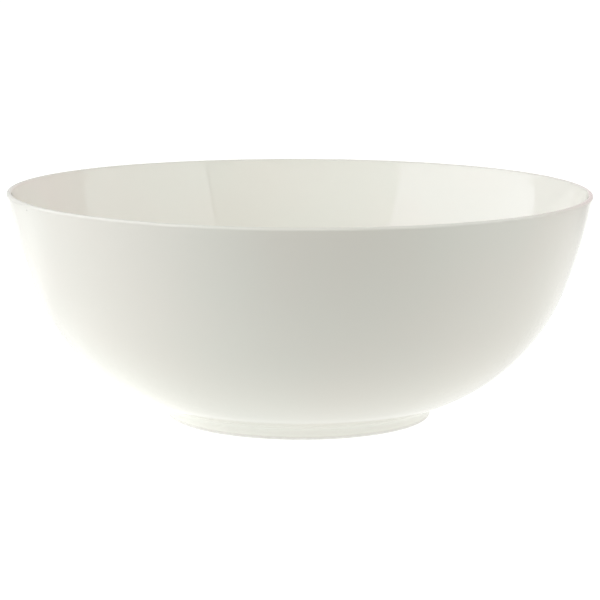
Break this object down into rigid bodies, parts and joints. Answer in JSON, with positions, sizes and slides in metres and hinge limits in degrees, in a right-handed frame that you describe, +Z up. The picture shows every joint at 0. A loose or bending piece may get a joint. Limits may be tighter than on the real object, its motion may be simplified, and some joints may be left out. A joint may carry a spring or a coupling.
{
  "type": "serving bowl",
  "caption": "Round glazed porcelain serving bowl with a thin rounded lip, a full curved wall and a low unglazed-edged foot ring.",
  "frame": {"origin": "centre of the circle on which the foot ring stands, level with the table", "axes": "+Z up along the bowl's own axis, out of its mouth; the bowl is round, so X and Y are any two directions across it"},
  "size_m": [0.28, 0.28, 0.109],
  "materials": {
    "porcelain_clay": "bare fired porcelain, matt and fine-grained",
    "white_glaze": "clear glossy glaze over white porcelain, faintly warm and greenish"
  },
  "bodies": {
    "root": {"bowl_body": "porcelain_clay", "foot_ring": "porcelain_clay", "inner_glaze": "white_glaze", "outer_glaze": "white_glaze", "foot_well_glaze": "white_glaze"}
  },
  "joints": []
}
